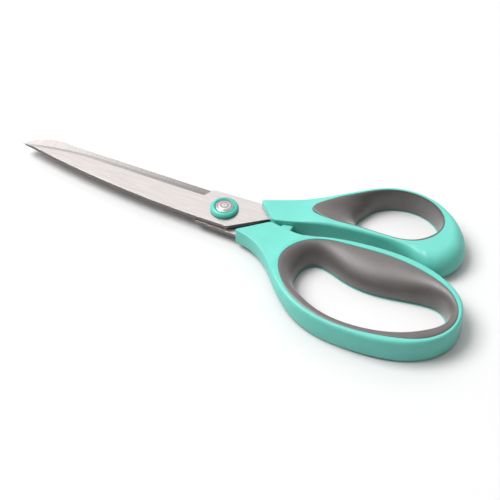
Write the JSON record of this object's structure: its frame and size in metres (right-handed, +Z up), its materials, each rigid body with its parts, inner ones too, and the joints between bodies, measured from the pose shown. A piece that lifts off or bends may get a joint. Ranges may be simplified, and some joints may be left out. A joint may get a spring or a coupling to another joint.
{
  "type": "office scissors",
  "caption": "Office scissors with brushed steel blades, a capped pivot screw, and plastic handles whose small and large loops have soft grips.",
  "frame": {"origin": "middle of the closed scissors' box, at the table they lie on", "axes": "+X from the blade tips to the handle ends, +Y to the thumb loop, +Z up from the table along the pivot"},
  "size_m": [0.2178, 0.0894, 0.012],
  "materials": {
    "blade_steel": "brushed along the blade",
    "pivot_steel": "turned",
    "handle_plastic": "satin mint green",
    "grip_rubber": "soft matt warm grey",
    "washer_nylon": "natural nylon"
  },
  "bodies": {
    "finger_side": {"finger_blade": "blade_steel", "finger_handle": "handle_plastic", "finger_grip": "grip_rubber", "pivot_screw": "pivot_steel", "pivot_nut": "pivot_steel", "pivot_cap_top": "handle_plastic", "pivot_cap_bottom": "handle_plastic", "friction_washer": "washer_nylon", "spring_washer": "pivot_steel"},
    "thumb_side": {"thumb_blade": "blade_steel", "thumb_handle": "handle_plastic", "thumb_grip": "grip_rubber"}
  },
  "joints": [
    {"name": "pivot", "type": "hinge", "parent": "finger_side", "child": "thumb_side", "pos_m": [-0.00586, 0.00143, 0.006], "axis": [0, 0, 1], "range_deg": [0, 92]}
  ]
}
